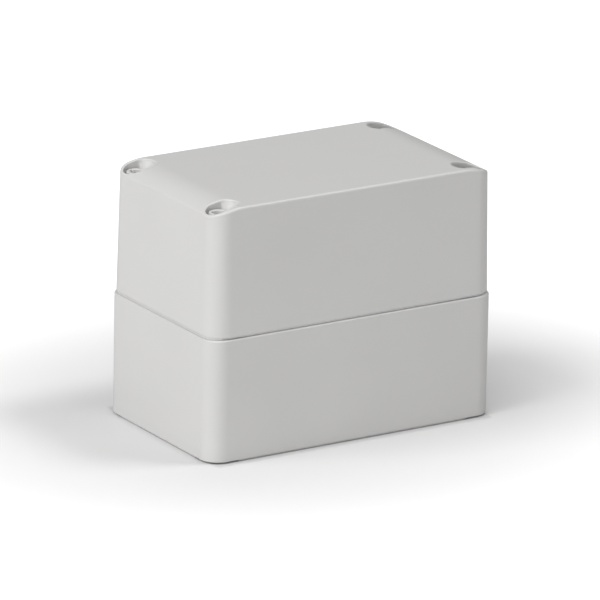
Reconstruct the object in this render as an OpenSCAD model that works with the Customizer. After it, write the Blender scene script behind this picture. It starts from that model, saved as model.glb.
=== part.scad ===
// Deep two-part plastic enclosure: a straight-sided base and a tall drafted
// lid of about the same height, held by four long corner screws.
// Units are millimetres. The box stands on z = 0, +X along its long side.

/* [Body] */
// Outside length of the base
body_w = 132; // [110:1:180]
// Outside depth of the base
body_d = 80; // [72:1:120]
// Height of the base up to the joint
base_h = 50.6; // [30:0.1:90]
// Height of the lid above the joint
lid_h = 53; // [30:0.1:90]
// Outside radius of the base's upright corners
corner_r = 7.7; // [6.5:0.1:9]
// Wall thickness
wall = 3; // [2.8:0.1:3.4]
// Floor thickness of the base
floor_t = 3; // [2.5:0.1:4]
// Thickness of the lid's top
top_t = 2.8; // [2.4:0.1:3.4]
// Radius along the bottom outside edge of the base
bottom_edge_r = 0.8; // [0.4:0.1:1.4]
// Radius along the base's outside edge at the joint
rim_edge_r = 0.5; // [0.2:0.1:0.8]

/* [Lid shape] */
// How far the lid sits back from the base's face at the joint
lid_inset = 0.3; // [0.1:0.1:0.8]
// Draft angle of the lid's sides
lid_draft = 1.15; // [0.5:0.05:1.6]
// Height of the shadow line round the box at the joint
joint_gap = 0.8; // [0.2:0.1:1]
// How far the lid's lip steps back to form the shadow line
lip_step = 0.5; // [0.3:0.1:0.8]
// Clearance between the lid's lip and the base's rim
lip_play = 0.15; // [0.05:0.05:0.3]
// Radius along the lid's long top edges
top_edge_r = 1.2; // [0.6:0.1:1.6]
// Length over which each end of the top curves down
crown_len = 13.6; // [8:0.2:20]
// Drop of the top at each end
crown_drop = 3.5; // [1:0.1:5]

/* [Corner screws] */
// Distance of a screw from the end of the base
screw_in_x = 7.8; // [7.8:0.1:9.5]
// Distance of a screw from the long side of the base
screw_in_y = 8.8; // [7.9:0.1:9]
// Diameter of a screw head
head_d = 8.4; // [7:0.1:8.8]
// Height of a screw head
head_h = 3; // [2:0.1:4]
// Depth of a screw head below the flat of the lid
head_sink = 3.1; // [2.5:0.1:5]
// Diameter of the plain shank
shank_d = 5.8; // [5:0.1:5.8]
// Diameter of the threaded end
thread_d = 6; // [5.4:0.1:6.2]
// Length of the threaded end below the joint
thread_len = 10; // [6:0.5:11]
// Radius of the pocket wall about the screw
pocket_r = 5.3; // [5.1:0.1:5.6]
// How far the pocket runs on towards the middle of the lid
pocket_run = 2.7; // [0:0.1:3]
// Width of the driver slots
slot_w = 1.3; // [0.8:0.1:1.8]
// Turn of the driver slots, front left screw
slot_turn_front_left = -32; // [-180:1:180]
// Turn of the driver slots, front right screw
slot_turn_front_right = 15; // [-180:1:180]
// Turn of the driver slots, back left screw
slot_turn_back_left = -58; // [-180:1:180]
// Turn of the driver slots, back right screw
slot_turn_back_right = 40; // [-180:1:180]

/* [Seal] */
// Width of the base's tongue
tongue_w = 1; // [0.8:0.1:1.2]
// Height of the tongue above the joint
tongue_h = 2.5; // [1.5:0.1:3.5]
// Room on each side of the tongue in the lid's groove
tongue_play = 0.3; // [0.2:0.05:0.35]
// Height of the gasket in the groove
gasket_h = 2; // [1.5:0.1:3]

/* [Wall fixing and board pillars] */
// Distance between the wall fixing holes along the box
fix_x = 92; // [60:1:92]
// Distance between the wall fixing holes across the box
fix_y = 66; // [60:1:66]
// Diameter of a wall fixing hole
fix_d = 4.5; // [3.5:0.1:5]
// Diameter of the shaft above a wall fixing hole
shaft_d = 7.4; // [7:0.1:7.6]
// Distance between the board pillars along the box
pillar_x = 92; // [40:1:96]
// Distance between the board pillars across the box
pillar_y = 40; // [20:1:42]
// Diameter of a board pillar
pillar_d = 6; // [5:0.1:7]
// Height of a board pillar above the floor
pillar_h = 5; // [3:0.5:12]
// Diameter of the pilot hole in a board pillar
pilot_d = 2.5; // [2:0.1:3.2]
// Distance of a corner relief's centre from the end of the base
relief_in_x = 8.5; // [8:0.1:9.5]
// Distance of a corner relief's centre from the long side of the base
relief_in_y = 8; // [7.9:0.1:9]
// Radius of the relief under each corner
relief_r = 9; // [6:0.1:9.1]
// Depth of the relief under each corner
relief_t = 0.7; // [0.3:0.1:1.2]

/* [Hidden] */
$fn = 64;
e = 0.01;
full_h = base_h + lid_h;
draft = tan(lid_draft);
screw_x = body_w / 2 - screw_in_x;
screw_y = body_d / 2 - screw_in_y;
lid_r = corner_r + 0.9;                      // lid corner radius at the joint
lid_hw = body_w / 2 - lid_inset;             // lid half length at the joint
lid_hd = body_d / 2 - lid_inset;             // lid half depth at the joint
top_hw = lid_hw - lid_h * draft;             // lid half length at the top
crown_r = (crown_len * crown_len + crown_drop * crown_drop) / (2 * crown_drop);
lip_z = base_h + joint_gap;
groove_w = tongue_w + 2 * tongue_play;
groove_top = base_h + tongue_h + gasket_h;
flange_top = groove_top + 2;
head_top = full_h - head_sink;
seat_z = head_top - head_h;                  // the floor of each pocket
channel_d = shank_d + 0.8;
ring_d = head_d;
ring_t = 1;
ring_z = base_h + 0.7;
travel = thread_len;                         // rise that frees a screw
ring_bore_r = ring_d / 2 + 0.4;
ring_bore_top = ring_z + ring_t + travel + 0.3;
neck_r = thread_d / 2 - 0.6;
post_r = 7.8;                                // seal line around a screw
shaft_wall_r = 5.8;                          // seal line around a fixing shaft

shell_grey = [0.80, 0.81, 0.80];
seal_grey = [0.16, 0.16, 0.17];
nylon = [0.90, 0.89, 0.84];

// ---- shared shapes --------------------------------------------------------

// One corner feature repeated at the four corners
module at_corners(x, y) {
    for (sx = [-1, 1], sy = [-1, 1]) translate([sx * x, sy * y, 0]) children();
}

// The same, mirrored so that +X and +Y always point out of the box
module mirror_corners() {
    for (mx = [0, 1], my = [0, 1])
        mirror([mx, 0, 0]) mirror([0, my, 0]) children();
}

// Half section of the base's outside, rounded at the foot and at the rim
module base_section(w) {
    square([w - bottom_edge_r, base_h / 2]);
    translate([0, base_h / 2]) square([w - rim_edge_r, base_h / 2]);
    translate([0, bottom_edge_r]) square([w, base_h - bottom_edge_r - rim_edge_r]);
    translate([w - bottom_edge_r, bottom_edge_r]) circle(bottom_edge_r);
    translate([w - rim_edge_r, base_h - rim_edge_r]) circle(rim_edge_r);
}

// Half section of the lid's outside, drafted, with a small break above the
// shadow line and a lip stepped back below it
module lid_section(w) {
    polygon([[0, base_h + lip_play], [w - lip_step, base_h + lip_play],
             [w - lip_step, lip_z], [w - joint_gap * draft - 0.3, lip_z],
             [w - (joint_gap + 0.3) * draft, lip_z + 0.3],
             [w - lid_h * draft, full_h], [0, full_h]]);
}

// The lid's section across the box, its long top edges rounded
module lid_cross_section(w) {
    edge_x = w - lid_h * draft - top_edge_r * (1 - draft);
    difference() {
        lid_section(w);
        translate([edge_x, full_h - top_edge_r]) square(top_edge_r + 1);
    }
    intersection() {
        lid_section(w);
        translate([edge_x, full_h - top_edge_r]) circle(top_edge_r);
    }
}

// Both halves of a section
module both_halves() {
    children();
    mirror([1, 0]) children();
}

// Runs a section along the box
module along_x(len) {
    rotate([90, 0, 90]) linear_extrude(height = len, center = true) children();
}

// Runs a section across the box
module along_y(len) {
    rotate([90, 0, 0]) linear_extrude(height = len, center = true) children();
}

// Everything under the lid's top, which is flat in the middle and curves down
// to both ends
module under_crown(lower) {
    along_y(2 * body_d) translate([0, -lower]) {
        flat_x = top_hw - crown_len;
        translate([-flat_x, 0]) square([2 * flat_x, full_h]);
        translate([-body_w, 0]) square([2 * body_w, full_h - crown_r]);
        for (s = [-1, 1]) translate([s * flat_x, full_h - crown_r]) circle(crown_r, $fn = 180);
    }
}

// Plan of the dry space inside the seal, grown by d: the box less its four
// corners, where the screws and the wall fixings stand outside the seal
module dry_plan(d) {
    difference() {
        square([body_w - 2 * wall + 2 * d, body_d - 2 * wall + 2 * d], center = true);
        for (mx = [0, 1], my = [0, 1]) mirror([mx, 0]) mirror([0, my]) {
            corner_plan(screw_x, screw_y, post_r - d);
            corner_plan(fix_x / 2, fix_y / 2, shaft_wall_r - d);
        }
    }
}

// A round post filled out to the corner of the box
module corner_plan(x, y, r) {
    translate([x, y]) circle(r);
    translate([x, y - r]) square([body_w, body_d]);
    translate([x - r, y]) square([body_w, body_d]);
}

// ---- base -----------------------------------------------------------------

module base_body() {
    cx = body_w / 2 - corner_r;
    cy = body_d / 2 - corner_r;
    along_x(2 * cx) both_halves() base_section(body_d / 2);
    along_y(2 * cy) both_halves() base_section(body_w / 2);
    at_corners(cx, cy) rotate_extrude() base_section(corner_r);
}

module base() {
    color(shell_grey) {
        difference() {
            union() {
                base_body();
                translate([0, 0, base_h - 1]) linear_extrude(tongue_h + 1)
                    difference() {
                        dry_plan(tongue_play + tongue_w);
                        dry_plan(tongue_play);
                    }
            }
            translate([0, 0, floor_t]) linear_extrude(full_h) dry_plan(0);
            at_corners(screw_x, screw_y) {
                translate([0, 0, base_h - thread_len - 1.5])
                    cylinder(h = thread_len + 1.5 + e, d = thread_d + 0.16);
            }
            at_corners(body_w / 2 - relief_in_x, body_d / 2 - relief_in_y)
                translate([0, 0, -e]) cylinder(h = relief_t + e, r = relief_r, $fn = 96);
            at_corners(fix_x / 2, fix_y / 2) {
                translate([0, 0, -e]) cylinder(h = full_h, d = fix_d);
                translate([0, 0, floor_t]) cylinder(h = full_h, d = shaft_d);
            }
        }
        at_corners(pillar_x / 2, pillar_y / 2) difference() {
            translate([0, 0, floor_t - 0.5]) cylinder(h = pillar_h + 0.5, d = pillar_d);
            translate([0, 0, floor_t]) cylinder(h = pillar_h + e, d = pilot_d);
        }
    }
}

// ---- lid ------------------------------------------------------------------

module lid_body() {
    cx = lid_hw - lid_r;
    cy = lid_hd - lid_r;
    intersection() {
        union() {
            along_x(2 * cx) both_halves() lid_cross_section(lid_hd);
            along_y(2 * cy) both_halves() lid_section(lid_hw);
            at_corners(cx, cy) rotate_extrude() lid_section(lid_r);
        }
        under_crown(0);
    }
}

// Plan of a screw pocket, run on towards the middle of the lid
module pocket_plan(r) {
    circle(r);
    translate([-pocket_run, 0]) circle(r);
    translate([-pocket_run, -r]) square([pocket_run, 2 * r]);
}

// The lid's inside above its thickened rim
module lid_space() {
    intersection() {
        along_x(2 * body_w) both_halves()
            polygon([[0, flange_top], [lid_hd - wall - (flange_top - base_h) * draft, flange_top],
                     [lid_hd - wall - lid_h * draft, full_h], [0, full_h]]);
        along_y(2 * body_d) both_halves()
            polygon([[0, flange_top], [lid_hw - wall - (flange_top - base_h) * draft, flange_top],
                     [lid_hw - wall - lid_h * draft, full_h], [0, full_h]]);
        under_crown(top_t);
    }
}

// What stands in the lid's inside at one corner: the screw's column and the
// pad under its pocket
module lid_column() {
    linear_extrude(full_h) corner_plan(screw_x, screw_y, 6.6);
    translate([screw_x, screw_y, seat_z - 2.2]) linear_extrude(lid_h) pocket_plan(pocket_r + 1.8);
    translate([0, 0, seat_z - 2.2]) linear_extrude(lid_h)
        translate([screw_x - pocket_run, screw_y]) square([body_w, body_d]);
}

module lid() {
    color(shell_grey) {
        difference() {
            lid_body();
            difference() {
                lid_space();
                mirror_corners() lid_column();
            }
            translate([0, 0, base_h - e]) linear_extrude(flange_top - base_h + 2 * e)
                dry_plan(-tongue_w);
            translate([0, 0, base_h]) linear_extrude(groove_top - base_h)
                difference() {
                    dry_plan(groove_w);
                    dry_plan(0);
                }
            mirror_corners() translate([screw_x, screw_y, 0]) {
                translate([0, 0, seat_z]) linear_extrude(lid_h) pocket_plan(pocket_r);
                cylinder(h = full_h, d = channel_d);
                cylinder(h = ring_bore_top, r = ring_bore_r);
            }
        }
        // stops that meet the base's corner posts
        at_corners(screw_x, screw_y) difference() {
            translate([0, 0, base_h]) cylinder(h = joint_gap + 0.5, r = post_r - groove_w - 0.2);
            cylinder(h = full_h, r = ring_bore_r);
        }
    }
}

// ---- seal -----------------------------------------------------------------

module gasket() {
    color(seal_grey) translate([0, 0, groove_top - gasket_h]) linear_extrude(gasket_h)
        difference() {
            dry_plan(groove_w);
            dry_plan(0);
        }
}

// ---- corner screws --------------------------------------------------------

// Half section of a screw from its point to its head
module screw_section() {
    hr = head_d / 2;
    sr = shank_d / 2;
    tr = thread_d / 2;
    tip = base_h - thread_len;
    polygon([[0, tip], [tr - 0.9, tip], [tr, tip + 1.2],
             [tr, ring_z - 0.1], [neck_r, ring_z - 0.1],
             [neck_r, ring_z + ring_t + 0.1], [sr, ring_z + ring_t + 0.1],
             [sr, seat_z], [hr, seat_z], [hr, head_top - 0.3], [hr - 0.3, head_top],
             [hr - 0.8, head_top], [hr - 1.1, head_top - 0.6], [0, head_top - 0.6]]);
}

module screw(sx, sy, turn) {
    color(shell_grey) translate([sx * screw_x, sy * screw_y, 0]) difference() {
        rotate_extrude() screw_section();
        rotate([0, 0, turn]) {
            translate([0, 0, head_top - 1.1]) {
                cube([head_d - 2.4, slot_w, 2.2], center = true);
                cube([slot_w, head_d - 3.8, 2.2], center = true);
            }
            translate([0, 0, head_top - 2.3]) cylinder(h = 2, r1 = 0.7, r2 = 1.5);
        }
    }
}

// Split ring that sits in the screw's neck and keeps the screw in the lid
module retainer(sx, sy) {
    color(nylon) translate([sx * screw_x, sy * screw_y, ring_z]) difference() {
        cylinder(h = ring_t, d = ring_d);
        translate([0, 0, -e]) cylinder(h = ring_t + 2 * e, r = neck_r + 0.08);
        translate([-sx * ring_d / 2, 0, ring_t / 2]) cube([ring_d, 1.6, 2 * ring_t], center = true);
    }
}

module screw_front_left() { screw(-1, -1, slot_turn_front_left); }
module screw_front_right() { screw(1, -1, slot_turn_front_right); }
module screw_back_left() { screw(-1, 1, slot_turn_back_left); }
module screw_back_right() { screw(1, 1, slot_turn_back_right); }

module retainer_front_left() { retainer(-1, -1); }
module retainer_front_right() { retainer(1, -1); }
module retainer_back_left() { retainer(-1, 1); }
module retainer_back_right() { retainer(1, 1); }

base();
lid();
gasket();
screw_front_left();
screw_front_right();
screw_back_left();
screw_back_right();
retainer_front_left();
retainer_front_right();
retainer_back_left();
retainer_back_right();
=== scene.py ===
# %% [markdown]
# # A deep plastic project box
# The box is two grey mouldings of nearly the same height: a straight-sided
# base and a tall lid whose sides lean in a little and whose top curves down
# at both ends. Four plastic screws sit in round pockets at the lid's corners.
# The solid model already has every part at its real size, so this lesson
# dresses it: soft moulded edges, a fine grain, and plain studio light.

# %% Bring in the solid model
import math

import bmesh
import bpy
from mathutils import Matrix, Vector


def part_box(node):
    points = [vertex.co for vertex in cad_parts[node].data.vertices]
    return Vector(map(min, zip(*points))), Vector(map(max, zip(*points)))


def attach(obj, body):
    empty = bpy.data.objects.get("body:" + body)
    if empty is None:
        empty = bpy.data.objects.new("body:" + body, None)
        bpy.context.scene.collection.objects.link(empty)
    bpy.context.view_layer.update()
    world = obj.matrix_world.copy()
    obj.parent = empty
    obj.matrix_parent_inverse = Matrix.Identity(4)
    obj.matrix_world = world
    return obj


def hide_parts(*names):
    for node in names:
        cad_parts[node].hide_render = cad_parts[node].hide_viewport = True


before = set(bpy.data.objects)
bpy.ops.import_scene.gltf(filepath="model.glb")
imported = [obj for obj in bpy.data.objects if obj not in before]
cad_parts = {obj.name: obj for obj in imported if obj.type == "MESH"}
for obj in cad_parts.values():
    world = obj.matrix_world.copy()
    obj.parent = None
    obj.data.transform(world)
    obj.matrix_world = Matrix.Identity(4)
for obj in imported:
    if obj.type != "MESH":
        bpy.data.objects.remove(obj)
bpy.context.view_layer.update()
print("nodes:", sorted(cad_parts))

# %% [markdown]
# ## Sizes
# Everything is in metres. Sizes that the solid model can give are read from
# it. The rest are the moulder's own values, written in millimetres and
# turned into metres once.

# %% Read the main sizes
MM = 0.001
SKIN = 0.01 * MM  # the dressed faces lie this far inside the solid ones

base_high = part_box("base")[1]
lid_low, lid_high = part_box("lid")
half_length = base_high[0]
half_depth = base_high[1]
joint_height = lid_low[2]
top_height = lid_high[2]
print("half length", half_length, "half depth", half_depth)
print("joint at", joint_height, "top at", top_height)

# %% Values of the mouldings
base_corner = 7.7 * MM     # upright corners of the base
foot_radius = 1.1 * MM     # its bottom edge
rim_radius = 0.75 * MM     # its top edge
relief_in_x, relief_in_y = 8.5 * MM, 8.0 * MM    # shallow reliefs under the corners
relief_radius, relief_depth = 9.0 * MM, 0.7 * MM

lid_inset = 0.3 * MM       # the lid's foot stands this far inside the base's side
lid_corner = 8.6 * MM
lid_draft = math.tan(math.radians(1.15))
groove_height = 0.8 * MM   # the shadow line between base and lid
solid_groove = 0.5 * MM    # its depth in the solid model
side_groove = 0.35 * MM    # its dressed depth on the long sides
end_groove = 0.15 * MM     # and on the ends
crown_length = 13.6 * MM   # the top bends down over this length at each end
crown_drop = 3.5 * MM      # by this much
crown_radius = (crown_length ** 2 + crown_drop ** 2) / (2 * crown_drop)
lid_half_length = half_length - lid_inset
lid_half_depth = half_depth - lid_inset
top_half_length = lid_half_length - (top_height - joint_height) * lid_draft
flat_half_length = top_half_length - crown_length
print("flat part of the top runs to", flat_half_length)

# %% [markdown]
# ## Building a shell from rings
# A moulding like this is a stack of level outlines. Each outline is the same
# rounded rectangle, moved in or out and up or down. Joining the rings gives a
# smooth skin whose edge radii are real geometry, so they catch the light as
# the moulded edges do. A bevel on the solid's own triangles would be quicker,
# but its long thin faces shade unevenly.

# %% A rounded rectangle with outward directions
def rounded_outline(half_x, half_y, radius, corner_steps=14, side_xs=()):
    """Points round the rectangle with their outward directions, starting at
    the right end of the front side and going anticlockwise."""
    points = []
    corners = [(1, -1, -90), (1, 1, 0), (-1, 1, 90), (-1, -1, 180)]
    for sign_x, sign_y, start in corners:
        centre = Vector((sign_x * (half_x - radius), sign_y * (half_y - radius)))
        for k in range(corner_steps + 1):
            angle = math.radians(start + 90 * k / corner_steps)
            out = Vector((math.cos(angle), math.sin(angle)))
            points.append((centre + out * radius, out))
        if (sign_x, sign_y) == (1, 1):
            points += [(Vector((x, half_y)), Vector((0, 1))) for x in reversed(side_xs)]
        if (sign_x, sign_y) == (-1, -1):
            points += [(Vector((x, -half_y)), Vector((0, -1))) for x in side_xs]
    return points


# %% Join rings of points into a mesh
def skin_rings(bm, rings):
    """Makes quads between neighbouring closed rings and returns the rings'
    vertices."""
    made = [[bm.verts.new(p) for p in ring] for ring in rings]
    for lower, upper in zip(made, made[1:]):
        count = len(lower)
        for i in range(count):
            j = (i + 1) % count
            bm.faces.new((lower[i], lower[j], upper[j], upper[i]))
    return made


def new_piece(name, bm):
    """Turns a finished bmesh into an object in the scene."""
    bmesh.ops.recalc_face_normals(bm, faces=bm.faces)
    mesh = bpy.data.meshes.new(name)
    bm.to_mesh(mesh)
    bm.free()
    obj = bpy.data.objects.new(name, mesh)
    bpy.context.scene.collection.objects.link(obj)
    return obj


def closed_piece(name, rings):
    """A solid made of rings, with one face across each end."""
    bm = bmesh.new()
    made = skin_rings(bm, rings)
    bm.faces.new(list(reversed(made[0])))
    bm.faces.new(made[-1])
    return new_piece(name, bm)


def circle(x, y, height, radius, count):
    """Points evenly round a level circle."""
    return [(x + radius * math.cos(2 * math.pi * k / count),
             y + radius * math.sin(2 * math.pi * k / count), height) for k in range(count)]


# %% Cut one closed mesh with another
def cut(obj, other, operation):
    """Applies a boolean with another object, then removes that object."""
    step = obj.modifiers.new(operation.lower(), "BOOLEAN")
    step.operation = operation
    step.solver = "EXACT"
    step.object = other
    depsgraph = bpy.context.evaluated_depsgraph_get()
    mesh = bpy.data.meshes.new_from_object(obj.evaluated_get(depsgraph))
    obj.modifiers.clear()
    old = obj.data
    obj.data = mesh
    bpy.data.meshes.remove(old)
    bpy.data.objects.remove(other)
    print(obj.name, operation.lower(), len(mesh.polygons), "faces")


def side_distance(x, y, half_x, half_y, radius):
    """How far a point lies inside a rounded rectangle's side, and the outward
    direction there."""
    dx, dy = abs(x) - (half_x - radius), abs(y) - (half_y - radius)
    if dx > 0 and dy > 0:
        away = Vector((dx, dy))
    else:
        away = Vector((dx, 0)) if dx > dy else Vector((0, dy))
    inset = radius - (away.length if max(dx, dy) > 0 else max(dx, dy))
    out = away.normalized()
    return inset, Vector((math.copysign(out.x, x), math.copysign(out.y, y)))


def solid_copy(node, swell):
    """A welded copy of a solid model's node for use in a boolean. swell(x, y, z)
    gives each point's small outward step, so that the dressed skin and not the
    copy's flat facets makes the outside."""
    bm = bmesh.new()
    bm.from_mesh(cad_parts[node].data)
    bmesh.ops.remove_doubles(bm, verts=bm.verts, dist=1e-7)
    for v in bm.verts:
        v.co += swell(*v.co)
    return new_piece(node + "_solid", bm)


def smooth(obj, angle=32):
    """Shades smoothly, keeps real corners sharp, and lets big flat faces set
    the shading next to small ones."""
    obj.data.shade_smooth()
    obj.data.set_sharp_from_angle(angle=math.radians(angle))
    weighted = obj.modifiers.new("weighted_normals", "WEIGHTED_NORMAL")
    weighted.keep_sharp = True
    weighted.weight = 80


# %% [markdown]
# ## The base
# A straight-sided tray with upright corners of about 8 mm radius. Two edges
# matter to the eye: the foot, rounded so that the box seems to float on a thin
# shadow, and the rim, a small round that shows as a bright line under the
# joint. The skin is intersected with the solid base, which brings the posts,
# holes, tongue and reliefs along. Where the dressed skin makes the outside,
# the copy of the solid is first swollen by a tenth of a millimetre.

# %% Dress the base
def level_ring(outline, inset, height):
    """The outline moved in by inset, at this height."""
    return [(p.x - n.x * inset, p.y - n.y * inset, height) for p, n in outline]


def quarter(steps):
    """Angles of a quarter turn, both ends included."""
    return [math.radians(90 * k / steps) for k in range(steps + 1)]


base_outline = rounded_outline(half_length, half_depth, base_corner)
ledge = 1.2 * MM           # the rim's flat part runs in this far
base_rings = []
for a in quarter(6):
    base_rings.append(level_ring(
        base_outline,
        SKIN + foot_radius * (1 - math.sin(a)),
        SKIN + foot_radius * (1 - math.cos(a))))
for share in (0.25, 0.5, 0.75):
    base_rings.append(level_ring(base_outline, SKIN, joint_height * share))
for a in quarter(6):
    base_rings.append(level_ring(
        base_outline,
        SKIN + rim_radius * (1 - math.cos(a)),
        joint_height - SKIN - rim_radius * (1 - math.sin(a))))
base_rings.append(level_ring(base_outline, ledge, joint_height - SKIN))
base_rings.append(level_ring(base_outline, ledge, base_high[2] + 1 * MM))
base_shell = closed_piece("base_shell", base_rings)
print("base skin", len(base_rings), "rings")

# %% Bring in the solid base's posts, holes and reliefs
swell_step = 0.1 * MM
touching = 0.03 * MM       # closer to a face than this counts as on it


def swell_base(x, y, z):
    """Outward where the base's side, foot or rim is, nowhere else."""
    inset, out = side_distance(x, y, half_length, half_depth, base_corner)
    step = Vector((0, 0, 0))
    if inset < foot_radius + touching:
        if z < joint_height + touching:
            step += Vector((out.x, out.y, 0)) * swell_step
        if z < foot_radius:
            step.z -= swell_step
        elif joint_height - rim_radius < z < joint_height + touching:
            step.z += swell_step
    return step


def relief_cutter(x, y):
    heights = (-1 * MM, relief_depth + 2 * SKIN)
    return closed_piece("relief", [circle(x, y, z, relief_radius + SKIN, 120) for z in heights])


for sign_x in (-1, 1):
    for sign_y in (-1, 1):
        cut(base_shell, relief_cutter(
            sign_x * (half_length - relief_in_x), sign_y * (half_depth - relief_in_y)),
            "DIFFERENCE")
cut(base_shell, solid_copy("base", swell_base), "INTERSECT")
smooth(base_shell)

# %% [markdown]
# ## The lid
# The lid's sides lean in by about one degree so that it leaves the mould. Its
# top is flat along the middle and bends down in a long arc over the last
# 14 mm at each end. The edge radius has to follow that bend, so each point of
# the outline gets its own small arc between the side and the local slope.

# %% Height and slope of the lid's top
def crown_fall(x):
    """How far the top lies below its flat part at this distance along."""
    past = max(0.0, abs(x) - flat_half_length)
    return crown_radius - math.sqrt(max(crown_radius ** 2 - past ** 2, 0.0))


def crown_slope(x):
    """How steeply the top falls there."""
    past = max(0.0, abs(x) - flat_half_length)
    return past / math.sqrt(crown_radius ** 2 - past ** 2)


def surface(x):
    """Height of the dressed top."""
    return top_height - SKIN - crown_fall(x)


# %% The lid's outline, drawn at its foot
arc_start = lid_half_length - lid_corner
in_bend = [flat_half_length + (arc_start - flat_half_length) * k / 6 for k in range(1, 6)]
side_xs = [-x for x in reversed(in_bend)]
side_xs += [flat_half_length * share for share in (-1, -0.5, 0, 0.5, 1)]
side_xs += in_bend
lid_outline = rounded_outline(
    lid_half_length, lid_half_depth, lid_corner, corner_steps=18, side_xs=side_xs)
print("lid outline", len(lid_outline), "points")

# %% Where each ring of the lid lies
lip_height = joint_height + groove_height
lip_round = 0.3 * MM


def lid_inset_at(height):
    return SKIN + (height - joint_height) * lid_draft


def edge_radius(out):
    """Softer along the sides, tighter round the corners."""
    corner = (2 * out.x * out.y) ** 2
    return (1.15 - 0.30 * corner) * MM


def groove_depth(across):
    """The shadow line is shallower on the ends than on the long sides."""
    return side_groove - (side_groove - end_groove) * across ** 2


def edge_arc(p, n):
    """The small arc between side and top at this point of the outline: its
    centre's height, its radius, and how far the top tilts there."""
    radius = edge_radius(n)
    edge_x = p.x - n.x * lid_inset_at(top_height)
    tilt = math.atan(crown_slope(edge_x) * abs(n.x))
    height = surface(edge_x) + math.tan(tilt) * radius - radius / math.cos(tilt)
    return height, radius, tilt


def groove_place(height, p, n):
    return groove_depth(n.x) + SKIN, height


def lip_place(angle, p, n):
    """On the small round at the lid's foot."""
    return (lid_inset_at(lip_height) + lip_round * (1 - math.sin(angle)),
            lip_height + SKIN + lip_round * (1 - math.cos(angle)))


def side_place(share, p, n):
    low = lip_height + lip_round
    height = low + (edge_arc(p, n)[0] - low) * share
    return lid_inset_at(height), height


def edge_place(share, p, n):
    """On the arc, from the side at 0 to the top at 1."""
    height, radius, tilt = edge_arc(p, n)
    angle = math.pi - (math.pi / 2 - tilt) * share
    return (lid_inset_at(height) + radius + radius * math.cos(angle),
            height + radius * math.sin(angle))


def top_place(past, p, n):
    """On the top, this far in from the end of the arc."""
    inset = edge_place(1, p, n)[0] + past
    return inset, surface(p.x - n.x * inset)


# %% Dress the lid
def lid_ring(place, value):
    """One ring: place gives each point's inset and height."""
    ring = []
    for p, n in lid_outline:
        inset, height = place(value, p, n)
        ring.append((p.x - n.x * inset, p.y - n.y * inset, height))
    return ring


edge_steps = 8
lid_rings = [lid_ring(groove_place, joint_height - 0.6 * MM),
             lid_ring(groove_place, lip_height + SKIN)]
lid_rings += [lid_ring(lip_place, a) for a in quarter(3)]
lid_rings += [lid_ring(side_place, share) for share in (0.1, 0.3, 0.5, 0.7, 0.85)]
lid_rings += [lid_ring(edge_place, k / edge_steps) for k in range(edge_steps + 1)]
lid_rings += [lid_ring(top_place, past * MM) for past in (0.5, 1.2, 2.1, 3.2)]


def close_top(bm, ring):
    """Joins the front of the last ring straight across to its back."""
    half = len(ring) // 2
    turn = (len(ring) - 2 * len(side_xs)) // 4
    front = ring[half + turn:] + ring[:turn]
    back = list(reversed(ring[turn:half + turn]))
    for a, b, c, d in zip(front, front[1:], back[1:], back):
        bm.faces.new((a, b, c, d))


bm = bmesh.new()
made = skin_rings(bm, lid_rings)
bm.faces.new(list(reversed(made[0])))
close_top(bm, made[-1])
lid_shell = new_piece("lid_shell", bm)
print("lid skin", len(lid_shell.data.polygons), "faces")

# %% [markdown]
# ## The screw pockets
# Each screw sits at the bottom of a short round-ended pocket that runs a
# little towards the middle of the lid and climbs there as a ramp, so that a
# screwdriver's blade finds its way in. The rim is softly rounded, and because
# the top bends down at the ends, it dips towards the corner. The cutter's
# flare follows the same bend, so the round stays even all the way. The solid
# model's pocket has no ramp, so a block of material goes into the copy of the
# solid first.

# %% Sizes of the pockets
pocket_radius = 5.3 * MM
pocket_run = 2.7 * MM             # how far a pocket reaches past its circle
pocket_steps = 72
rim_tilt = math.radians(22)       # slope at which the rim leaves the top
ramp_levels = ((0.0, 0.0), (0.12, 0.02), (0.28, 0.10), (0.52, 0.40), (0.76, 0.72))
head_height = 3.0 * MM
seat_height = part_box("screw_front_left")[1][2] - head_height
screw_names = ["front_left", "front_right", "back_left", "back_right"]
print("screw heads seat at", seat_height)


def screw_centre(name):
    low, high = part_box("screw_" + name)
    return Vector(((low[0] + high[0]) / 2, (low[1] + high[1]) / 2))


def pocket_outline(centre, share):
    """A circle about the screw, drawn out towards the lid's middle by this
    share of the pocket's run."""
    side = 1 if centre.x > 0 else -1
    points = []
    for k in range(pocket_steps):
        angle = 2 * math.pi * (k + 0.5) / pocket_steps
        out = Vector((math.cos(angle), math.sin(angle)))
        shift = -side * pocket_run * share if out.x * side < 0 else 0.0
        points.append((centre + Vector((shift, 0)) + out * pocket_radius, out))
    return points


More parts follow.
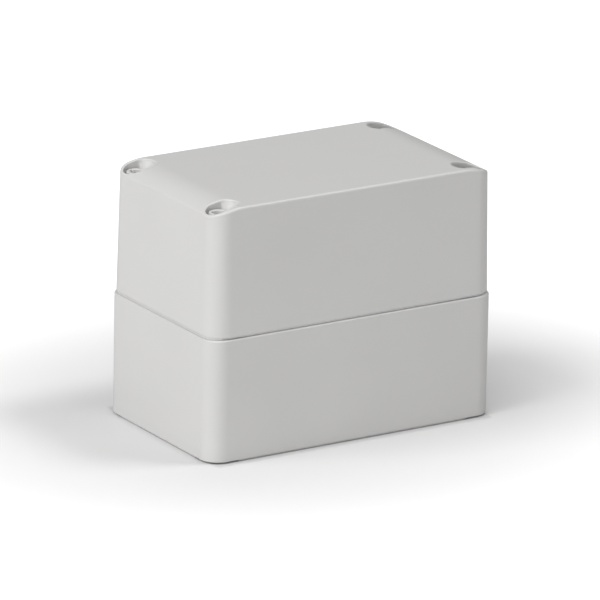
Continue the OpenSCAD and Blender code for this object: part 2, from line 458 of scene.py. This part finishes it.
# %% The space of one pocket
def pocket_cutter(name):
    """Upright walls about the screw, a ramp on the side towards the middle,
    and a rounded rim that follows the lid's top. The heights are worked out
    point by point, so that the rings never cross where the top falls."""
    centre = screw_centre(name)
    outward = Vector((math.copysign(1, centre.x), math.copysign(1, centre.y))).normalized()
    outline = pocket_outline(centre, 1.0)

    def rim(n):
        """The rim is tighter towards the corner, where there is less room."""
        return (0.68 - 0.22 * n.dot(outward)) * MM

    rings = []
    for level, share in ramp_levels:
        rings.append([
            (q.x + n.x * SKIN, q.y + n.y * SKIN,
             seat_height - SKIN + (surface(p.x) - rim(n) - seat_height) * level)
            for (q, n), (p, _) in zip(pocket_outline(centre, share), outline)])
    rim_steps = 7
    for k in range(rim_steps + 1):
        turn = (math.pi / 2 - rim_tilt) * k / rim_steps
        ring = []
        for p, n in outline:
            q = p + n * (SKIN + rim(n) * (1 - math.cos(turn)))
            ring.append((q.x, q.y, surface(q.x) - rim(n) * (1 - math.sin(turn))))
        rings.append(ring)
    run = 1.2 * MM
    last = [(x + n.x * run, y + n.y * run, z + run * math.tan(rim_tilt))
            for (p, n), (x, y, z) in zip(outline, rings[-1])]
    rings.append(last)
    rings.append([(x, y, top_height + 3 * MM) for x, y, z in last])
    return closed_piece("pocket_" + name, rings)


def ramp_block(name):
    """Material for a ramp to be cut from, where the solid has open space."""
    centre = screw_centre(name)
    side = 1 if centre.x > 0 else -1
    near, far, half_width = 3.9 * MM, 9.5 * MM, 6.2 * MM
    x_low, x_high = sorted((centre.x - side * near, centre.x - side * far))
    y_low, y_high = centre.y - half_width, centre.y + half_width
    corners = ((x_low, y_low), (x_high, y_low), (x_high, y_high), (x_low, y_high))
    heights = (seat_height - 1.0 * MM, top_height + 0.5 * MM)
    return closed_piece("ramp_" + name, [[(x, y, z) for x, y in corners] for z in heights])


# %% Cut the pockets and bring in the solid lid's inside
def swell_lid(x, y, z):
    """Outward on the lid's side and top, and far enough in the shadow line to
    make it shallower."""
    inset, out = side_distance(x, y, lid_half_length, lid_half_depth, lid_corner)
    inset -= (z - joint_height) * lid_draft
    from_top = top_height - crown_fall(x) - z
    rounded_edge = 1.25 * MM
    on_edge = inset < rounded_edge and from_top < rounded_edge
    step = Vector((0, 0, 0))
    if inset < touching or on_edge:
        step += Vector((out.x, out.y, 0)) * swell_step
    if from_top < touching or on_edge:
        step.z += swell_step
    if side_groove < inset < solid_groove + 0.1 * MM and z < lip_height + touching:
        step += Vector((out.x, out.y, 0)) * (solid_groove - groove_depth(out.x) + swell_step)
    return step


lid_solid = solid_copy("lid", swell_lid)
for name in screw_names:
    cut(lid_shell, pocket_cutter(name), "DIFFERENCE")
    cut(lid_solid, ramp_block(name), "UNION")
cut(lid_shell, lid_solid, "INTERSECT")
smooth(lid_shell)

# %% [markdown]
# ## The corner screws
# Long plastic screws, moulded in the same grey. Only the heads show: a broad
# ring round a steep recess, with a long slot crossed by a short one in its
# floor. With the lid lifted the threaded ends show too, so they get a real
# helical thread. A screw modifier would make the thread from a profile, but
# its ends would need trimming. Here the whole screw is one grid wrapped round
# its axis, and the thread is a radius that changes with angle and height.

# %% Sizes of a screw
thread_pitch = 2.5 * MM
screw_low, screw_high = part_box("screw_front_left")
tip_height, head_top = screw_low[2], screw_high[2]
head_radius = (screw_high[0] - screw_low[0]) / 2
head_edge = 0.35 * MM
recess_radius = 2.75 * MM         # at its mouth
recess_edge = 0.2 * MM
shank_radius = 2.9 * MM
crest_radius = 2.98 * MM
root_radius = 2.45 * MM
neck_low = joint_height + 0.6 * MM
neck_high = joint_height + 1.8 * MM
neck_radius = 2.4 * MM
print("screw length", head_top - tip_height, "head radius", head_radius)


# %% Profile of a screw
def screw_rows():
    """Heights and radii from the tip to the bottom of the recess. The third
    value says how much of the thread shows in that row."""
    rows = [(tip_height, 1.6 * MM, 0.0), (tip_height + 0.15 * MM, 1.95 * MM, 0.0)]
    turn_rows = 56
    start, end = tip_height + 0.5 * MM, neck_low - 0.4 * MM
    for k in range(turn_rows + 1):
        t = k / turn_rows
        rows.append((start + (end - start) * t, root_radius - 0.3 * MM * max(0, 1 - 8 * t),
                     min(1.0, 7 * t, 10 * (1 - t))))
    rows += [(neck_low, neck_radius, 0.0), (neck_high, neck_radius, 0.0),
             (neck_high + 0.25 * MM, shank_radius - 0.05 * MM, 0.0),
             (neck_high + 0.5 * MM, shank_radius, 0.0),
             (joint_height + 20 * MM, shank_radius, 0.0),
             (seat_height, shank_radius, 0.0),
             (seat_height, head_radius - 0.25 * MM, 0.0),
             (seat_height + 0.25 * MM, head_radius, 0.0)]
    for a in quarter(5):
        rows.append((head_top - head_edge * (1 - math.sin(a)),
                     head_radius - head_edge * (1 - math.cos(a)), 0.0))
    mouth = head_top - 0.12 * MM
    rows += [(head_top, head_radius - 0.9 * MM, 0.0), (mouth, recess_radius, 0.0)]
    for a in quarter(3)[1:]:
        rows.append((mouth - recess_edge * (1 - math.cos(a)),
                     recess_radius - recess_edge * math.sin(a), 0.0))
    rows += [(head_top - 1.75 * MM, 2.40 * MM, 0.0), (head_top - 1.85 * MM, 2.20 * MM, 0.0)]
    return rows


def thread_rise(height, angle):
    """Share of the thread's height at this place: 1 on the crest."""
    phase = (height / thread_pitch - angle / (2 * math.pi)) % 1.0
    ridge = 1 - abs(phase - 0.5) * 2
    return min(1.0, max(0.0, (ridge - 0.30) / 0.45))


# %% Driver slots
slot_width, slot_depth = 1.8 * MM, 2.6 * MM
long_slot, short_slot = 6.0 * MM, 4.6 * MM


def slot_cutter(centre, turn, length):
    """A slot whose walls lean in slightly towards its floor."""
    rings = []
    for height, scale in ((head_top - slot_depth, 0.82), (head_top + 1 * MM, 1.1)):
        half_run = length / 2 - slot_width / 2 * (1 - scale)
        half_gap = slot_width / 2 * scale
        ring = []
        for p, n in rounded_outline(half_run, half_gap, 0.25 * MM, corner_steps=4):
            q = Matrix.Rotation(turn, 2) @ p
            ring.append((centre.x + q.x, centre.y + q.y, height))
        rings.append(ring)
    return closed_piece("slot", rings)


def centre_cutter(centre):
    """The cone where the two slots cross."""
    levels = ((-2.9, 1.0), (-0.9, 1.9), (1.0, 2.0))
    return closed_piece("cone", [circle(centre.x, centre.y, head_top + rise * MM, radius * MM, 32)
                                 for rise, radius in levels])


# %% Make the four screws
slot_turns = {"front_left": -32, "front_right": 15, "back_left": -58, "back_right": 40}
around = 48
screws = {}
for name in screw_names:
    centre = screw_centre(name)
    rings = []
    for height, radius, thread in screw_rows():
        ring = []
        for k in range(around):
            angle = 2 * math.pi * k / around
            r = radius
            if thread:
                r += (crest_radius - root_radius) * thread * thread_rise(height, angle)
            ring.append((centre.x + r * math.cos(angle), centre.y + r * math.sin(angle), height))
        rings.append(ring)
    screw = closed_piece("screw_dressed_" + name, rings)
    turn = math.radians(slot_turns[name])
    cut(screw, slot_cutter(centre, turn, long_slot), "DIFFERENCE")
    cut(screw, slot_cutter(centre, turn + math.pi / 2, short_slot), "DIFFERENCE")
    cut(screw, centre_cutter(centre), "DIFFERENCE")
    smooth(screw, 38)
    screws[name] = screw

# %% [markdown]
# ## Grain and tone
# Moulded boxes are not mirror smooth: the mould is spark-eroded, which leaves a
# fine even grain, and the plastic cools with faint cloudy differences in gloss.
# One node group makes both, and each material sets its own amounts.

# %% Node group: moulded grain
def grain_group():
    """Height is the fine grain, Cloud a broad soft drift."""
    group = bpy.data.node_groups.new("moulded_grain", "ShaderNodeTree")
    face = group.interface
    for label, value in (("Grain Scale", 2600.0), ("Cloud Scale", 22.0)):
        socket = face.new_socket(label, in_out="INPUT", socket_type="NodeSocketFloat")
        socket.default_value = value
    for label in ("Height", "Cloud"):
        face.new_socket(label, in_out="OUTPUT", socket_type="NodeSocketFloat")
    nodes, links = group.nodes, group.links
    given, out = nodes.new("NodeGroupInput"), nodes.new("NodeGroupOutput")
    place = nodes.new("ShaderNodeTexCoord")

    def noise(scale_name, detail, roughness):
        node = nodes.new("ShaderNodeTexNoise")
        node.inputs["Detail"].default_value = detail
        node.inputs["Roughness"].default_value = roughness
        links.new(place.outputs["Object"], node.inputs["Vector"])
        links.new(given.outputs[scale_name], node.inputs["Scale"])
        return node.outputs["Fac"]

    cloud = nodes.new("ShaderNodeMapRange")
    cloud.inputs["From Min"].default_value = 0.3
    cloud.inputs["From Max"].default_value = 0.7
    links.new(noise("Cloud Scale", 2.0, 0.5), cloud.inputs["Value"])
    links.new(noise("Grain Scale", 3.0, 0.6), out.inputs["Height"])
    links.new(cloud.outputs["Result"], out.inputs["Cloud"])
    return group


moulded_grain = grain_group()
print("node group", moulded_grain.name, len(moulded_grain.nodes), "nodes")


# %% A moulded plastic from the group
def moulded(name, light, dark, rough_low, rough_high, depth, scales=(2600.0, 22.0)):
    """Plastic with a fine grain: colour and gloss drift a little with the
    cloud, and the grain is a bump."""
    material = bpy.data.materials.new(name)
    material.use_nodes = True
    nodes, links = material.node_tree.nodes, material.node_tree.links
    shader = nodes["Principled BSDF"]
    grain = nodes.new("ShaderNodeGroup")
    grain.node_tree = moulded_grain
    for socket, value in zip(("Grain Scale", "Cloud Scale"), scales):
        grain.inputs[socket].default_value = value
    tone = nodes.new("ShaderNodeMix")
    tone.data_type = "RGBA"
    tone.inputs["A"].default_value = (*light, 1)
    tone.inputs["B"].default_value = (*dark, 1)
    links.new(grain.outputs["Cloud"], tone.inputs["Factor"])
    links.new(tone.outputs["Result"], shader.inputs["Base Color"])
    gloss = nodes.new("ShaderNodeMapRange")
    gloss.inputs["To Min"].default_value = rough_low
    gloss.inputs["To Max"].default_value = rough_high
    links.new(grain.outputs["Cloud"], gloss.inputs["Value"])
    links.new(gloss.outputs["Result"], shader.inputs["Roughness"])
    bump = nodes.new("ShaderNodeBump")
    bump.inputs["Strength"].default_value = 1.0
    bump.inputs["Distance"].default_value = depth
    links.new(grain.outputs["Height"], bump.inputs["Height"])
    links.new(bump.outputs["Normal"], shader.inputs["Normal"])
    print("material", name)
    return material


shell_plastic = moulded("shell_plastic", (0.589, 0.586, 0.579), (0.573, 0.570, 0.563),
                        0.34, 0.41, 0.012 * MM)
# The screws are moulded in the shell's grey; this lighter copy is painted light, so that the heads
# read brighter.
screw_plastic = moulded("screw_plastic", (0.600, 0.596, 0.586), (0.580, 0.576, 0.566),
                        0.34, 0.42, 0.008 * MM)
seal_foam = moulded("seal_foam", (0.030, 0.030, 0.031), (0.020, 0.020, 0.021),
                    0.75, 0.90, 0.08 * MM, (1400.0, 60.0))
nylon = moulded("retainer_nylon", (0.72, 0.70, 0.63), (0.68, 0.66, 0.59),
                0.35, 0.45, 0.006 * MM)

# %% Put the materials on
def dress(obj, material):
    obj.data.materials.clear()
    obj.data.materials.append(material)


dress(base_shell, shell_plastic)
dress(lid_shell, shell_plastic)
for screw in screws.values():
    dress(screw, screw_plastic)
dress(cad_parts["gasket"], seal_foam)
for name in screw_names:
    dress(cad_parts["retainer_" + name], nylon)

# %% Tie the dressed pieces to the model
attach(base_shell, "base")
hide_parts("base")
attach(lid_shell, "lid")
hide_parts("lid")
for name, screw in screws.items():
    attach(screw, "screw_" + name)
    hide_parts("screw_" + name)
print("dressed:", base_shell.name, lid_shell.name, *(screw.name for screw in screws.values()))

# %% [markdown]
# ## The floor
# A big pale disc, matt so that it mirrors nothing. The box's shade fades over
# the floor, and further out a painted glow, for the eye alone, lifts the floor
# to white, so that no horizon shows; because the glow grows outwards, it leaves
# a broad painted shade round the box. Close to the foot, less and less light
# gets in under the rounded edge. The floor's grey is painted darker there, a
# painted contact shadow, which is steadier than leaving that thin line to the lamps.

# %% Painted shade where the box meets the floor
def painted_contact_shade(nodes, links, place):
    """Painted shade in the floor's grey: darker in a narrow band round the foot of
    the box, a painted contact shadow, and a little darker again along its long
    sides."""
    def vector(operation, first, second=None):
        node = nodes.new("ShaderNodeVectorMath")
        node.operation = operation
        links.new(first, node.inputs[0])
        if second is not None:
            node.inputs[1].default_value = second
        return node.outputs["Value" if operation == "LENGTH" else "Vector"]

    def band(inner, stretch, near, far, low, high):
        """A smooth ramp with the distance outside a rectangle."""
        beyond = vector("SUBTRACT", vector("ABSOLUTE", place.outputs["Object"]), inner)
        beyond = vector("MULTIPLY", vector("MAXIMUM", beyond, (0, 0, 0)), stretch)
        node = nodes.new("ShaderNodeMapRange")
        node.interpolation_type = "SMOOTHSTEP"
        limits = (("From Min", near), ("From Max", far), ("To Min", low), ("To Max", high))
        for socket, number in limits:
            node.inputs[socket].default_value = number
        links.new(vector("LENGTH", beyond), node.inputs["Value"])
        return node.outputs["Result"]

    # Painted shade: the floor's grey darkens close to the foot and again along the long sides.
    foot = band((half_length - base_corner, half_depth - base_corner, 1.0), (1, 1, 0),
                base_corner - 1 * MM, base_corner + 4 * MM, 0.68, 0.745)
    sides = band((half_length - 3 * MM, half_depth - 1 * MM, 1.0), (3, 1, 0),
                 2.0 * MM, 5.5 * MM, 0.84, 1.0)
    both = nodes.new("ShaderNodeMath")
    both.operation = "MULTIPLY"
    links.new(foot, both.inputs[0])
    links.new(sides, both.inputs[1])
    return both.outputs[0]


# %% Pale floor
fade_x, fade_y = 0.20, 0.17    # about here the floor has faded to white


def make_floor():
    """A disc whose painted glow, seen by the camera alone, grows outwards."""
    bm = bmesh.new()
    bmesh.ops.create_circle(bm, cap_ends=True, radius=6.0, segments=96)
    floor = new_piece("floor", bm)
    material = bpy.data.materials.new("pale_floor")
    material.use_nodes = True
    nodes, links = material.node_tree.nodes, material.node_tree.links
    shader = nodes["Principled BSDF"]
    shader.inputs["Roughness"].default_value = 0.9
    shader.inputs["Specular IOR Level"].default_value = 0.0
    shader.inputs["Emission Color"].default_value = (1, 1, 1, 1)
    path = nodes.new("ShaderNodeLightPath")
    place = nodes.new("ShaderNodeTexCoord")
    stretch = nodes.new("ShaderNodeMapping")
    # The painted glow centres a little left of and behind the box's middle, so the painted shade
    # round the box reaches further out on the left.
    stretch.inputs["Location"].default_value = (0.06, -0.04, 0)
    stretch.inputs["Scale"].default_value = (1 / fade_x, 1 / fade_y, 0)
    links.new(place.outputs["Object"], stretch.inputs["Vector"])
    away = nodes.new("ShaderNodeVectorMath")
    away.operation = "LENGTH"
    links.new(stretch.outputs["Vector"], away.inputs[0])
    rise = nodes.new("ShaderNodeMapRange")
    rise.interpolation_type = "SMOOTHSTEP"
    rise.inputs["From Min"].default_value = 0.35
    rise.inputs["From Max"].default_value = 1.25
    rise.inputs["To Min"].default_value = 0.0
    rise.inputs["To Max"].default_value = 0.50
    links.new(away.outputs["Value"], rise.inputs["Value"])
    painted_glow = nodes.new("ShaderNodeMath")
    painted_glow.operation = "MULTIPLY"
    links.new(rise.outputs["Result"], painted_glow.inputs[0])
    links.new(path.outputs["Is Camera Ray"], painted_glow.inputs[1])
    links.new(painted_glow.outputs[0], shader.inputs["Emission Strength"])
    links.new(painted_contact_shade(nodes, links, place), shader.inputs["Base Color"])
    floor.data.materials.append(material)
    return floor


floor = make_floor()
print("floor", round(floor.dimensions.x, 2), "m across")

# %% [markdown]
# ## Light
# Everything is soft. Four broad lamps stand low on the left, in front on the
# left, high on the left and overhead, so that the end is lightest, the top a
# little darker and the long side darkest. A fifth, smaller and higher on the
# right, is there for the thin bright line along the top's long edge and along
# the base's rim: a rounded edge mirrors a small lamp as a narrow streak. The
# world is plain white to the camera and a soft grey to everything else. The
# grey also counts for reflections, or the satin top would turn too light.

# %% White to the eye, soft grey to the object
world = bpy.data.worlds.new("studio")
bpy.context.scene.world = world
world.use_nodes = True
nodes, links = world.node_tree.nodes, world.node_tree.links
back = nodes["Background"]
path = nodes.new("ShaderNodeLightPath")
seen = nodes.new("ShaderNodeMath")
seen.operation = "MAXIMUM"
links.new(path.outputs["Is Camera Ray"], seen.inputs[0])
links.new(path.outputs["Is Transmission Ray"], seen.inputs[1])
level = nodes.new("ShaderNodeMapRange")
level.inputs["To Min"].default_value = 0.20
level.inputs["To Max"].default_value = 1.0
links.new(seen.outputs[0], level.inputs["Value"])
links.new(level.outputs["Result"], back.inputs["Strength"])
back.inputs["Color"].default_value = (1, 1, 1, 1)
print("world", world.name)


# %% Soft lamps
def lamp(name, place, size, power):
    """A square lamp that points at the middle of the box."""
    light = bpy.data.lights.new(name, "AREA")
    light.shape = "SQUARE"
    light.size = size
    light.energy = power
    obj = bpy.data.objects.new(name, light)
    obj.location = place
    obj.rotation_euler = (Vector((0, 0, 0.05)) - Vector(place)).to_track_quat("-Z", "Y").to_euler()
    obj.visible_camera = False
    bpy.context.scene.collection.objects.link(obj)
    print("lamp", name, power, "W")
    return obj


lamp("left_lamp", (-2.2, -0.5, 0.15), 0.9, 6.8)
lamp("front_lamp", (-1.7, -1.7, 0.6), 1.4, 20.6)
lamp("high_left_lamp", (-1.5, 0.0, 1.7), 1.4, 27.5)
lamp("top_lamp", (0.0, 0.0, 2.2), 1.6, 9.0)
lamp("edge_lamp", (0.75, -0.45, 1.9), 0.45, 12.0)

# %% [markdown]
# ## Camera
# The camera looks from a little above and sees one end and one long side. It
# stands far off with a long lens, which keeps the upright edges parallel. Its
# place is worked out from two angles, a small roll and a distance, so each
# can be changed alone.

# %% Place the camera
def make_camera():
    azimuth, elevation, roll = -0.56325, 0.30997, 0.01867
    aim_right, aim_up, distance = -0.7377 * MM, -2.893 * MM, 3090.3 * MM
    away = Vector((math.sin(azimuth) * math.cos(elevation),
                   -math.cos(azimuth) * math.cos(elevation), math.sin(elevation)))
    right = Vector((0, 0, 1)).cross(away).normalized()
    up = away.cross(right)
    right, up = (right * math.cos(roll) + up * math.sin(roll),
                 -right * math.sin(roll) + up * math.cos(roll))
    data = bpy.data.cameras.new("camera")
    data.lens = 467.6
    data.sensor_width = 36
    data.clip_end = 20
    camera = bpy.data.objects.new("camera", data)
    place = Vector((0, 0, 0.05)) + right * aim_right + up * aim_up + away * distance
    camera.matrix_world = Matrix((
        (right.x, up.x, away.x, place.x), (right.y, up.y, away.y, place.y),
        (right.z, up.z, away.z, place.z), (0, 0, 0, 1)))
    bpy.context.scene.collection.objects.link(camera)
    bpy.context.scene.camera = camera
    return camera


camera = make_camera()
bpy.context.scene.view_settings.view_transform = "Standard"
print("camera at", tuple(round(c, 3) for c in camera.location))
